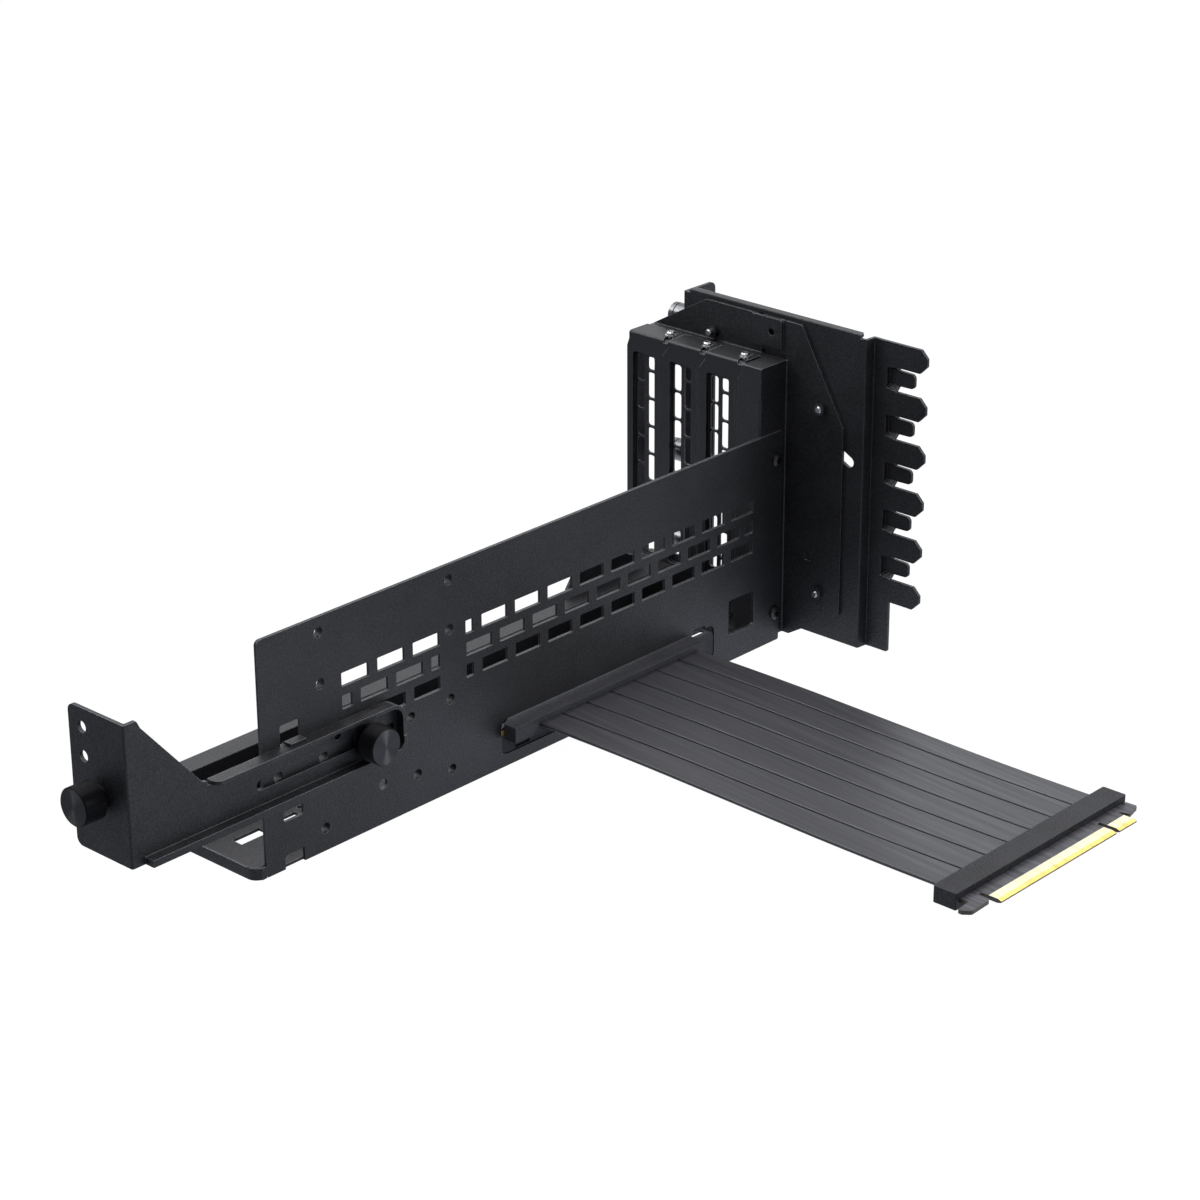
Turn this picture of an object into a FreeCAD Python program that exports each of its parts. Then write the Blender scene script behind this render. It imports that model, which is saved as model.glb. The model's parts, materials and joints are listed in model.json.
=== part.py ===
import FreeCAD, Part
import math
import os

# Upright graphics-card bracket for a computer case, with its riser ribbon.
# Working axes while modelling (mm):
#   X runs along the long plate, from the arm end to the slot cage
#   Y = 0 is the front face of the long plate, +Y is the side the card stands on
#   Z = 0 is the surface the bracket stands on
# Every solid is shifted by (-ORIGIN_X, -ORIGIN_Y, 0) when it is written, so the
# origin is the middle of the footprint, at the bottom.
ORIGIN_X = 157.25
ORIGIN_Y = 4.1

# ---------------------------------------------------------------- dimensions
SHEET = 1.2            # steel sheet of plate, tray, cage and comb
ARM_SHEET = 1.5        # steel sheet of the support arm

PLATE_X0, PLATE_X1 = 38.2, 326.4
PLATE_H = 93.5
BRICK_W, BRICK_H, BRICK_PITCH = 13.8, 5.5, 18.08
ROW_Z = {"top": 62.4, "mid": 53.4, "bottom": 44.4}

SLOT_PITCH = 20.32     # pitch of expansion slots
CAGE_FACE_X = 313.9    # outer face of the slot covers
LEDGE_Z = 122.6        # top of the screw ledge
FLANGE_X = 330.2       # front of the cage flanges
COMB_X = 331.4         # front of the comb plate
COMB_Z0, COMB_Z1 = 5.4, 139.6
COMB_TOP = 141.2       # top of its folded upper flange
COMB_NEAR_Y, COMB_FAR_Y = -38.4, 58.2
FINGER_X = 336.4       # front of the finger plate
FINGER_TIP_Y = -65.3
FINGER_Z = [134.5 - SLOT_PITCH * k for k in range(6)]
SHIFT_DEG = 28.0       # direction of the comb adjustment above +Y
SHIFT_LEN = 8.0        # travel of that adjustment
SHIFT_SLOT_W = 4.5

ARM_END_X = -23.8
ARM_TIP_X = 104.4
ARM_Z0, ARM_Z1, ARM_TOP = 28.2, 49.5, 83.0
ARM_WEB_Y = -1.6
ARM_LIP_Y = -6.0
ARM_SLOT_Z, ARM_SLOT_X0, ARM_SLOT_X1, ARM_SLOT_W = 38.8, 35.9, 100.0, 3.9
KNOB_X, KNOB_Z, KNOB_D = 87.5, 38.8, 14.6
END_KNOB_Y, END_KNOB_Z, END_KNOB_D = 13.5, 51.5, 14.8
STUD_R = 1.8

TRAY_X0, TRAY_X1 = 33.0, 313.2
TRAY_TOP = 5.0
TRAY_WALL_Y = 48.8
TRAY_LEDGE_Z = 24.0
TRAY_BACK_Y = 58.2

SOCKET_X0, SOCKET_X1 = 160.3, 271.4
SOCKET_Y0, SOCKET_TOP = -7.1, 18.9

# free ribbon: seven flat strips side by side, from the socket cover to the plug
STRIP_T = 1.4
STRIP_SOCKET_X = [173.3, 186.0, 199.9, 213.6, 227.3, 240.6, 254.1, 267.0]
STRIP_PLUG_X = [189.9, 205.6, 219.8, 233.3, 246.9, 260.6, 274.2, 286.0]
STRIP_Z = [(-7.1, 16.0), (-42.0, 14.5), (-98.0, 10.1), (-154.0, 5.6), (-188.6, 4.0)]

# plug, as it lies on the surface
PLUG_DX, PLUG_DY, PLUG_DZ = 14.33, 9.8, -8.9

V = FreeCAD.Vector


# ------------------------------------------------------------------- helpers
def to3(plane, u, v, a):
    """A 2-D point on a plane at height a along the plane's normal."""
    if plane == "xz":
        return V(u, a, v)
    if plane == "yz":
        return V(a, u, v)
    return V(u, v, a)


NORMAL = {"xz": V(0, 1, 0), "yz": V(1, 0, 0), "xy": V(0, 0, 1)}


def wire(pts, plane, a):
    """Closed wire through (u, v) or (u, v, r) points; r rounds that corner."""
    n = len(pts)
    ends = []
    for i in range(n):
        p = pts[i]
        r = p[2] if len(p) > 2 else 0.0
        if r <= 1e-6:
            ends.append((p[:2], p[:2], None))
            continue
        q0, q1 = pts[i - 1], pts[(i + 1) % n]
        d0 = (q0[0] - p[0], q0[1] - p[1])
        d1 = (q1[0] - p[0], q1[1] - p[1])
        l0, l1 = math.hypot(*d0), math.hypot(*d1)
        d0 = (d0[0] / l0, d0[1] / l0)
        d1 = (d1[0] / l1, d1[1] / l1)
        half = math.acos(max(-1.0, min(1.0, d0[0] * d1[0] + d0[1] * d1[1]))) / 2
        t = r / math.tan(half)
        a0 = (p[0] + d0[0] * t, p[1] + d0[1] * t)
        a1 = (p[0] + d1[0] * t, p[1] + d1[1] * t)
        b = (d0[0] + d1[0], d0[1] + d1[1])
        lb = math.hypot(*b)
        if lb < 1e-6:
            ends.append((p[:2], p[:2], None))
            continue
        k = r / math.sin(half) - r
        m = (p[0] + b[0] / lb * k, p[1] + b[1] / lb * k)
        ends.append((a0, a1, m))
    edges = []
    for i in range(n):
        a0, a1, m = ends[i]
        if m is not None:
            edges.append(Part.Arc(to3(plane, *a0, a), to3(plane, *m, a), to3(plane, *a1, a)).toShape())
        b0 = ends[(i + 1) % n][0]
        if math.hypot(a1[0] - b0[0], a1[1] - b0[1]) > 1e-5:
            edges.append(Part.LineSegment(to3(plane, *a1, a), to3(plane, *b0, a)).toShape())
    return Part.Wire(edges)


def prism(pts, plane, a, b):
    """Solid between a and b along the plane's normal."""
    return Part.Face(wire(pts, plane, a)).extrude(NORMAL[plane] * (b - a))


def rect(u0, u1, v0, v1, r=0.0):
    return [(u0, v0, r), (u1, v0, r), (u1, v1, r), (u0, v1, r)]


def box(x0, x1, y0, y1, z0, z1):
    return Part.makeBox(x1 - x0, y1 - y0, z1 - z0, V(x0, y0, z0))


def cyl(r, base, axis, h):
    return Part.makeCylinder(r, h, V(*base), V(*axis))


def cone(r0, r1, base, axis, h):
    return Part.makeCone(r0, r1, h, V(*base), V(*axis))


def folded(path, t, r, plane, a, b):
    """Sheet of thickness t whose mid line is path; r is the inner bend radius, a pair of
    inner and outer radius for a crisp bend, or a list with one of these per point."""
    left, right = [], []
    n = len(path)
    for i in range(n):
        p = path[i]
        dirs = []
        if i > 0:
            d = (p[0] - path[i - 1][0], p[1] - path[i - 1][1])
            l = math.hypot(*d)
            dirs.append((d[0] / l, d[1] / l))
        if i < n - 1:
            d = (path[i + 1][0] - p[0], path[i + 1][1] - p[1])
            l = math.hypot(*d)
            dirs.append((d[0] / l, d[1] / l))
        if len(dirs) == 1:
            nx, ny = -dirs[0][1], dirs[0][0]
            left.append((p[0] + nx * t / 2, p[1] + ny * t / 2, 0.0))
            right.append((p[0] - nx * t / 2, p[1] - ny * t / 2, 0.0))
            continue
        n0 = (-dirs[0][1], dirs[0][0])
        n1 = (-dirs[1][1], dirs[1][0])
        m = (n0[0] + n1[0], n0[1] + n1[1])
        k = t / 2 * 2 / (m[0] * m[0] + m[1] * m[1])
        turn = dirs[0][0] * dirs[1][1] - dirs[0][1] * dirs[1][0]
        ri = r[i] if isinstance(r, list) else r
        ri, ro = ri if isinstance(ri, tuple) else (ri, ri + t)
        rl, rr = (ri, ro) if turn > 0 else (ro, ri)
        left.append((p[0] + m[0] * k, p[1] + m[1] * k, rl))
        right.append((p[0] - m[0] * k, p[1] - m[1] * k, rr))
    return prism(left + right[::-1], plane, a, b)


def slot2d(u0, v0, u1, v1, w, plane, a, b):
    """Round-ended slot from one end centre to the other."""
    L = math.hypot(u1 - u0, v1 - v0)
    dx, dy = (u1 - u0) / L, (v1 - v0) / L
    nx, ny = -dy * w / 2, dx * w / 2
    ex, ey = dx * w / 2, dy * w / 2
    p = [(u0 + nx, v0 + ny), (u1 + nx, v1 + ny), (u1 - nx, v1 - ny), (u0 - nx, v0 - ny)]
    P = [to3(plane, q[0], q[1], a) for q in p]
    e1 = to3(plane, u1 + ex, v1 + ey, a)
    e0 = to3(plane, u0 - ex, v0 - ey, a)
    w_ = Part.Wire([Part.LineSegment(P[0], P[1]).toShape(), Part.Arc(P[1], e1, P[2]).toShape(),
                    Part.LineSegment(P[2], P[3]).toShape(), Part.Arc(P[3], e0, P[0]).toShape()])
    return Part.Face(w_).extrude(NORMAL[plane] * (b - a))


def fuse(*parts):
    s = parts[0].multiFuse(list(parts[1:])) if len(parts) > 1 else parts[0]
    return s.removeSplitter()


def cross_recess(centre, axis, size, depth):
    """Cross-shaped driver recess, cut downwards against axis from centre."""
    ax = V(*axis)
    side = V(0, 0, 1) if abs(ax.z) < 0.5 else V(0, 1, 0)
    other = ax.cross(side)
    c = V(*centre)
    out = []
    for a, b in ((side, other), (other, side)):
        p = [c + a * (size / 2) + b * (size / 9), c + a * (size / 2) - b * (size / 9),
             c - a * (size / 2) - b * (size / 9), c - a * (size / 2) + b * (size / 9)]
        f = Part.Face(Part.makePolygon([q + ax * 0.05 for q in p] + [p[0] + ax * 0.05]))
        out.append(f.extrude(ax * -(depth + 0.05)))
    return out


def pan_screw(seat, axis, head_r, head_h, shank_r, shank_l, recess):
    """Screw seated at a point; axis points out of the head."""
    ax = V(*axis)
    s = V(*seat)
    h1 = head_h * 0.55
    head = Part.makeCylinder(head_r, h1, s, ax)
    dome = Part.makeCone(head_r, head_r * 0.62, head_h - h1, s + ax * h1, ax)
    shank = Part.makeCylinder(shank_r, shank_l, s - ax * shank_l, ax)
    tip = Part.makeCone(shank_r, shank_r * 0.7, 0.5, s - ax * shank_l, ax * -1)
    body = fuse(head, dome, shank, tip)
    top = s + ax * head_h
    return body.cut(cross_recess((top.x, top.y, top.z), axis, recess, head_h * 0.6))


nodes = {}

# ------------------------------------------------------------ long side plate
plate = prism([(PLATE_X0, 0.0, 0.8), (PLATE_X1, 0.0, 0.8), (PLATE_X1, PLATE_H, 1.2), (PLATE_X0, PLATE_H, 2.0)],
              "xz", 0.0, SHEET)
cuts = []


def window(x0, x1, z0, z1, r=0.35):
    cuts.append(prism(rect(x0, x1, z0, z1, r), "xz", -1, SHEET + 1))


outer = [(78.0, 91.6), (96.0, 109.8), (114.1, 127.9), (141.7, 145.9)]
outer += [(150.3 + BRICK_PITCH * k, 150.3 + BRICK_PITCH * k + BRICK_W) for k in range(9)]
inner = [(78.0, 83.2), (87.3, 101.1), (105.3, 119.1), (123.4, 128.0), (142.0, 155.8)]
inner += [(159.9 + BRICK_PITCH * k, 159.9 + BRICK_PITCH * k + BRICK_W) for k in range(8)] + [(303.6, 308.6)]
for x0, x1 in outer:
    window(x0, x1, ROW_Z["top"], ROW_Z["top"] + BRICK_H)
    window(x0, x1, ROW_Z["bottom"], ROW_Z["bottom"] + BRICK_H)
for x0, x1 in inner:
    window(x0, x1, ROW_Z["mid"], ROW_Z["mid"] + BRICK_H)
COLLAR_HOLES = [(67.6, 87.3), (67.6, 67.2), (133.1, 87.3), (133.1, 67.2), (133.0, 38.7), (112.2, 38.3),
                (133.0, 9.3), (114.8, 13.7), (67.5, 9.2), (67.75, 38.2), (45.75, 37.9)]
PLATE_HOLES = COLLAR_HOLES + [(96.85, 16.3)]
PLATE_HOLE_R = 2.1
for x, z in PLATE_HOLES:
    cuts.append(cyl(PLATE_HOLE_R, (x, -1, z), (0, 1, 0), 4))
# square window near the cage
window(294.0, 310.0, 11.9, 27.3, 1.0)
# cut-out that the riser socket passes through, with a relief above its right end
cuts.append(prism([(159.9, 5.0, 3.0), (285.0, 5.0, 3.0), (285.0, 20.0, 3.0), (279.4, 20.0), (279.4, 21.4, 0.9),
                   (271.6, 21.4, 0.9), (271.6, 20.0), (159.9, 20.0, 3.0)], "xz", -1, SHEET + 1))
# window whose lower lip is folded out as a guide over the arm
window(47.3, 57.2, 50.0, 57.5, 1.2)
# lower guide window and the notch in the bottom edge
window(47.4, 57.0, 19.0, 23.4, 1.0)
cuts.append(prism([(47.3, -1.0), (56.9, -1.0), (56.9, 5.6, 0.4), (47.3, 5.6, 1.6)], "xz", -1, SHEET + 1))
# arm clamp stud and the two screws into the cage
cuts.append(cyl(STUD_R + 0.05, (KNOB_X, -1, KNOB_Z), (0, 1, 0), 4))
PLATE_SCREWS = [(323.3, 81.3), (323.4, 13.0)]
for x, z in PLATE_SCREWS:
    cuts.append(cyl(1.55, (x, -1, z), (0, 1, 0), 4))
# two holes for the rivets that hold the tray's front tabs
TRAY_RIVETS = [(144.0, 2.4), (300.5, 2.4)]
plate = plate.cut(cuts)
guide = folded([(0.6, 48.6), (0.6, 50.2), (-3.6, 50.2)], SHEET, 0.3, "yz", 49.4, 56.6)
plate = fuse(plate, guide)
plate = plate.cut([prism(rect(47.3, 49.4, 49.6, 51.4), "xz", -1, SHEET + 1),
                   prism(rect(56.6, 57.2, 49.6, 51.4), "xz", -1, SHEET + 1)])
# clinched collars behind the spare holes
collars = [cyl(PLATE_HOLE_R + 1.1, (x, SHEET, z), (0, 1, 0), 2.5).cut(cyl(PLATE_HOLE_R, (x, 0.0, z), (0, 1, 0), 6.0))
           for x, z in COLLAR_HOLES]
plate = fuse(plate, *collars)
nodes["gpu_plate"] = plate

# --------------------------------------------------------------------- tray
floor = box(TRAY_X0 + 1.0, TRAY_X1, SHEET + 0.1, TRAY_WALL_Y + 0.6, TRAY_TOP - SHEET, TRAY_TOP)
# rear wall and ledge, folded up from the floor
rear = folded([(30.0, TRAY_TOP - 0.6), (TRAY_WALL_Y + 0.6, TRAY_TOP - 0.6), (TRAY_WALL_Y + 0.6, TRAY_LEDGE_Z - 0.6),
               (TRAY_BACK_Y, TRAY_LEDGE_Z - 0.6)], SHEET, [0, 0.6, (0.0, 0.5), 0], "yz", TRAY_X0, TRAY_X1)
# raised tab at the back edge of the ledge, near the cage
tab = folded([(54.0, TRAY_LEDGE_Z - 0.6), (TRAY_BACK_Y - 0.6, TRAY_LEDGE_Z - 0.6), (TRAY_BACK_Y - 0.6, 41.0)],
             SHEET, 0.6, "yz", 257.6, 302.9)
tab_keep = prism([(257.6, 21.0), (302.9, 21.0), (302.9, 30.0), (295.7, 31.9), (288.2, 40.0, 1.5), (268.2, 40.0, 1.5),
                  (261.2, 32.4), (257.6, 27.6)], "xz", 50.0, 60.0)
tab = tab.common(tab_keep)
# the front-left corner of the skirt turns into the front
skirt_l = folded([(36.0, 0.6), (TRAY_X0 + 0.6, 0.6), (TRAY_X0 + 0.6, TRAY_WALL_Y + 1.2)], SHEET, 3.4, "xy", 0.0, TRAY_TOP - 0.3)
skirt_front = box(35.9, PLATE_X0 - 0.05, 0.0, SHEET, 0.0, TRAY_TOP - 0.3)
left_edge = folded([(TRAY_X0 + 0.6, 0.0), (TRAY_X0 + 0.6, TRAY_TOP - 0.6), (TRAY_X0 + 12.0, TRAY_TOP - 0.6)],
                   SHEET, (0.2, 0.8), "xz", 5.0, TRAY_WALL_Y + 1.0)
right_edge = folded([(TRAY_X1 - 0.6, 0.0), (TRAY_X1 - 0.6, TRAY_TOP - 0.6), (TRAY_X1 - 12.0, TRAY_TOP - 0.6)],
                    SHEET, 0.5, "xz", SHEET + 0.1, TRAY_WALL_Y + 1.0)
back_skirt = box(TRAY_X0 + 0.6, TRAY_X1 - 0.6, TRAY_WALL_Y, TRAY_WALL_Y + SHEET, 0.0, TRAY_TOP)
corner_fill = prism([(TRAY_X0, 5.2), (TRAY_X0, 4.2), (TRAY_X0 + 1.2, 1.6), (TRAY_X0 + 4.0, SHEET + 0.1), (TRAY_X0 + 9.0, SHEET + 0.1),
                     (TRAY_X0 + 9.0, 5.2)], "xy", TRAY_TOP - SHEET, TRAY_TOP)
tray = fuse(floor, rear, tab, skirt_l, skirt_front, left_edge, right_edge, back_skirt, corner_fill)
# lowered pad behind the notch in the plate's bottom edge
tray = tray.cut(box(46.8, 64.0, SHEET + 0.05, 10.5, 0.0, 8.0))
tray = fuse(tray, box(47.6, 62.4, SHEET + 0.1, 11.7, 0.0, SHEET), box(47.6, 62.4, 10.5, 11.7, 0.0, TRAY_TOP))
tray = tray.cut([prism(rect(43.2, 56.4, 19.15, 24.5), "xy", 0.0, 8.0),
                 prism(rect(60.8, 74.0, 19.15, 24.4), "xy", 0.0, 8.0),
                 cyl(1.2, (78.0, 26.0, 0.0), (0, 0, 1), 8.0),
                 prism(rect(176.0, 262.0, 8.0, 20.0, 1.5), "xy", 0.0, 8.0),
                 prism(rect(95.0, 107.0, 19.2, 23.0, 1.6), "xy", 0.0, 8.0),
                 prism(rect(291.5, 303.4, 19.2, 23.0, 1.6), "xy", 0.0, 8.0),
                 box(31.0, 37.0, -1.0, 0.0, 0, 8)])
# holes for the board's standoffs
STANDOFFS = [(165.6, 20.0), (165.6, 6.0), (279.5, 20.0), (279.5, 6.0)]
tray = tray.cut([cyl(1.75, (x, y, 3.0), (0, 0, 1), 3.0) for x, y in STANDOFFS])
nodes["base_tray"] = tray

# --------------------------------------------------------------------- cage
WALL_Y = SHEET         # the near wall stands against the back of the plate
cm = WALL_Y + 0.6
side = folded([(CAGE_FACE_X + 0.6, 13.85), (CAGE_FACE_X + 0.6, cm), (FLANGE_X + 0.6, cm), (FLANGE_X + 0.6, -29.0)],
              SHEET, [0, (0.3, 0.8), 0.6, 0], "xy", 1.9, LEDGE_Z - 0.15)
b_keep = prism([(-2.4, 1.9, 1.5), (40.0, 1.9), (40.0, 150.0), (-0.03, 150.0), (-28.8, 100.0, 1.5), (-29.0, 17.9, 1.5)], "yz", 300.0, 340.0)
side = side.common(b_keep)
b_top = prism([(1.0, 110.0), (1.0, 124.5), (15.2, 124.5), (15.2, 139.1, 1.0), (-6.3, 139.1, 2.0), (-28.8, 100.0), (-20.0, 90.0)],
              "yz", FLANGE_X, COMB_X)
ledge = folded([(CAGE_FACE_X + 0.8, LEDGE_Z - 0.6), (FLANGE_X + 0.6, LEDGE_Z - 0.6), (FLANGE_X + 0.6, 141.0)],
               SHEET, 0.6, "xz", 14.6, 73.5)
ledge_near = box(CAGE_FACE_X + 0.8, FLANGE_X + 0.2, WALL_Y, 14.7, LEDGE_Z - SHEET, LEDGE_Z)
strip_top = folded([(CAGE_FACE_X + 0.6, 110.0), (CAGE_FACE_X + 0.6, LEDGE_Z - 0.6), (322.0, LEDGE_Z - 0.6)],
                   SHEET, (0.3, 0.8), "xz", WALL_Y, 11.0)
a_keep = prism([(0.0, 100.0), (73.5, 100.0), (73.5, 122.75), (44.9, 139.1, 1.5), (17.4, 139.1), (17.4, 125.0), (0.0, 125.0)],
               "yz", 300.0, 340.0)
ledge = ledge.common(a_keep)
# the lapped end of the upper flange, set forward by its own thickness
lap = folded([(FLANGE_X + 0.6, 22.0), (FLANGE_X + 0.6, 20.4), (FLANGE_X - 0.6, 18.2), (FLANGE_X - 0.6, 3.3)],
             SHEET, 0.3, "xy", 125.8, 139.1)
lap = lap.common(prism([(3.3, 126.6, 0.8), (13.0, 126.6), (14.5, 125.9), (22.5, 125.9), (22.5, 139.1), (3.3, 139.1, 1.4)],
                       "yz", 320.0, 340.0))
# return flange at the far end, behind the last slot cover
far_return = box(CAGE_FACE_X + 0.9, 325.0, 72.3, 73.5, 8.0, LEDGE_Z - 0.3)
cage = fuse(side, b_top, ledge, ledge_near, strip_top, lap, far_return)
cage_cuts = [cyl(1.5, (320.0, 8.7, 133.1), (1, 0, 0), 20.0)]
# the covers' upper ends lie in a stepped recess of the face and ledge
cage_cuts.append(prism([(11.06, 130.0), (11.06, 119.9), (14.0, 115.45), (14.0, 100.0), (80.0, 100.0), (80.0, 130.0)], "yz",
                       CAGE_FACE_X - 1.0, CAGE_FACE_X + 0.82))
cage_cuts.append(prism([(CAGE_FACE_X, LEDGE_Z + 1), (CAGE_FACE_X, LEDGE_Z - 1.4), (CAGE_FACE_X + 0.82, LEDGE_Z - 0.7), (CAGE_FACE_X + 1.5, LEDGE_Z),
                        (CAGE_FACE_X + 1.5, LEDGE_Z + 1)], "xz", 11.06, 80.0))
LEDGE_SCREWS = [(319.6, 14.6), (319.6, 34.8), (319.6, 55.0)]
for x, y in LEDGE_SCREWS:
    cage_cuts.append(cyl(1.55, (x, y, 110.0), (0, 0, 1), 20.0))
for x, z in PLATE_SCREWS:
    cage_cuts.append(cyl(1.55, (x, -1.0, z), (0, 1, 0), 6.0))
CLAMPS = [(40.6, 126.2), (-17.4, 105.9), (-17.9, 25.0)]
for y, z in CLAMPS:
    cage_cuts.append(cyl(2.15, (325.0, y, z), (1, 0, 0), 10.0))
# small lanced tab on the lower flange
cage_cuts.append(box(320.0, 340.0, -13.9, -10.3, 38.0, 38.5))
cage_cuts.append(box(320.0, 340.0, -13.9, -13.4, 38.0, 42.0))
cage_cuts.append(box(320.0, 340.0, -10.8, -10.3, 38.0, 42.0))
cage = cage.cut(cage_cuts)
nodes["slot_cage"] = cage

# lower cross rail behind the slot covers, which takes the lower ends of the blades
rail = folded([(TRAY_X1 + 2.4 + 2.0, 2.6), (TRAY_X1 + 2.4 + 2.0, 20.6), (327.0, 20.6)], SHEET, 0.6, "xz", 3.0, 72.2)
rail_foot = folded([(TRAY_X1 + 4.4, 12.0), (TRAY_X1 + 4.4, 1.9), (327.0, 1.9)], SHEET, 0.6, "xz", 3.0, 72.2)
rail = fuse(rail, rail_foot)
nodes["cover_rail"] = rail

# --------------------------------------------------------------- slot covers
LOW_SEAM = [14.0, 34.7, 55.2, 74.4]
TOP_SEAM = [11.06, 31.4, 51.7, 73.2]
FIELD_Y = [24.4, 44.7, 65.0]
COVER_T = 0.8
for k in range(3):
    y0, y1 = LOW_SEAM[k] + 0.12, LOW_SEAM[k + 1] - 0.12
    t0, t1 = TOP_SEAM[k] + 0.12, TOP_SEAM[k + 1] - 0.12
    outline = [(t0, LEDGE_Z + COVER_T), (t0, 120.0), (y0, 115.6), (y0, 12.0, 1.0), (y0 + 4.2, 8.0, 1.0), (y0 + 4.2, 2.6, 0.8),
               (y1 - 4.2, 2.6, 0.8), (y1 - 4.2, 8.0, 1.0), (y1, 12.0, 1.0), (y1, 115.6 if k < 2 else 116.6), (t1, 120.0), (t1, LEDGE_Z + COVER_T)]
    blade = folded([(CAGE_FACE_X + 0.4, 2.6), (CAGE_FACE_X + 0.4, LEDGE_Z + 0.4), (CAGE_FACE_X + 11.4, LEDGE_Z + 0.4)],
                   COVER_T, 0.35, "xz", t0, y1 + 0.0)
    blade = blade.common(prism(outline, "yz", 300.0, 340.0))
    fy = FIELD_Y[k]
    field = rect(fy - 6.9, fy + 6.9, 24.0, 115.7, 2.6)
    inner_f = rect(fy - 6.1, fy + 6.1, 24.8, 114.9, 1.8)
    blade = blade.cut(prism(inner_f, "yz", CAGE_FACE_X - 1, CAGE_FACE_X + 1.4))
    pan = prism(field, "yz", CAGE_FACE_X + 0.3, CAGE_FACE_X + 2.6).cut(
        prism(inner_f, "yz", CAGE_FACE_X - 1.0, CAGE_FACE_X + 1.8))
    cover = fuse(blade, pan)
    slots = []
    z_top = 113.4
    while z_top - 11.3 > 25.5:
        slots.append(prism(rect(fy + 2.9 - 2.05, fy + 2.9 + 2.05, z_top - 11.3, z_top, 1.3), "yz", 310.0, 320.0))
        z_top -= 12.26
    if z_top - 5.0 > 25.5:
        slots.append(prism(rect(fy + 0.85, fy + 4.95, 25.8, z_top, 1.3), "yz", 310.0, 320.0))
    slots.append(prism(rect(fy - 2.9 - 2.05, fy - 2.9 + 2.05, 107.8, 113.4, 1.3), "yz", 310.0, 320.0))
    z_top = 106.6
    while z_top - 11.3 > 25.5:
        slots.append(prism(rect(fy - 2.9 - 2.05, fy - 2.9 + 2.05, z_top - 11.2, z_top, 1.3), "yz", 310.0, 320.0))
        z_top -= 12.26
    slots.append(prism(rect(fy - 2.9 - 2.05, fy - 2.9 + 2.05, 25.8, z_top, 1.3), "yz", 310.0, 320.0))
    sx, sy = LEDGE_SCREWS[k]
    slots.append(slot2d(sx, sy, 312.4, sy - 3.3, 3.2, "xy", LEDGE_Z - 0.6, 126.0))
    slots.append(box(sx, 324.2, sy - 0.3, sy + 0.3, LEDGE_Z - 0.1, 126.0))
    slots.append(box(CAGE_FACE_X - 0.5, CAGE_FACE_X + 0.22, y0 + 1.0, y0 + 1.25, 12.5, 114.6))
    cover = cover.cut(slots)
    nodes["slot_cover_%d" % (k + 1)] = cover

screws = []
for x, y in LEDGE_SCREWS:
    z = LEDGE_Z + COVER_T
    s_ = fuse(cyl(2.35, (x, y, z), (0, 0, 1), 0.6), cyl(1.75, (x, y, z), (0, 0, 1), 1.6), cone(1.75, 1.35, (x, y, z + 1.6), (0, 0, 1), 0.5),
              cyl(1.5, (x, y, z - 6.0), (0, 0, 1), 6.2))
    screws.append(s_.cut(cross_recess((x, y, z + 2.1), (0, 0, 1), 2.5, 1.1)))
nodes["cover_screws"] = Part.makeCompound(screws)
screws = [pan_screw((x, 0.0, z), (0, -1, 0), 2.9, 1.7, 1.5, 5.5, 3.0) for x, z in PLATE_SCREWS]
nodes["plate_screws"] = Part.makeCompound(screws)

# --------------------------------------------------------------- comb plate
mid = COMB_X + 0.6
shift = (math.cos(math.radians(SHIFT_DEG)), math.sin(math.radians(SHIFT_DEG)))
main = folded([(350.2, COMB_FAR_Y - 0.6), (mid, COMB_FAR_Y - 0.6), (mid, COMB_NEAR_Y + 0.6), (FINGER_X + 0.6, COMB_NEAR_Y + 0.1),
               (FINGER_X + 0.6, FINGER_TIP_Y)], SHEET, (0.3, 0.5), "xy", COMB_Z0, COMB_Z1)
# far flange: rounded outer corners
flange_zone = box(333.6, 352.0, COMB_FAR_Y - 2.0, COMB_FAR_Y + 1.0, 0.0, 150.0)
flange_keep = prism([(333.0, COMB_Z0), (350.2, COMB_Z0, 4.0), (350.2, COMB_Z1, 3.0), (333.0, COMB_Z1)], "xz", COMB_FAR_Y - 3.0, COMB_FAR_Y + 1.0)
main = main.cut(flange_zone).fuse(main.common(flange_zone).common(flange_keep))
# finger plate outline
fz = sorted(FINGER_Z)
tabz = [FINGER_Z[0] - SLOT_PITCH / 2 - SLOT_PITCH * k for k in range(5)]
edge_y = -49.9
outline = [(-30.0, 5.5), (edge_y, 5.5, 0.8)]
for z in fz:
    outline += [(edge_y, z - 5.05, 0.3), (-61.75, z - 5.05, 0.5), (FINGER_TIP_Y, z - 1.5, 0.6), (FINGER_TIP_Y, z + 1.8, 0.6),
                (-62.1, z + 5.05, 0.6)]
    if z != fz[-1]:
        outline += [(edge_y, z + 5.05, 0.3)]
outline += [(-30.0, FINGER_Z[0] + 5.05)]
finger_keep = prism(outline, "yz", 335.0, 345.0)
finger_zone = box(334.9, 345.0, -70.0, COMB_NEAR_Y - 2.4, 0.0, 150.0)
main = main.cut(finger_zone).fuse(main.common(finger_keep).common(finger_zone))
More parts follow.
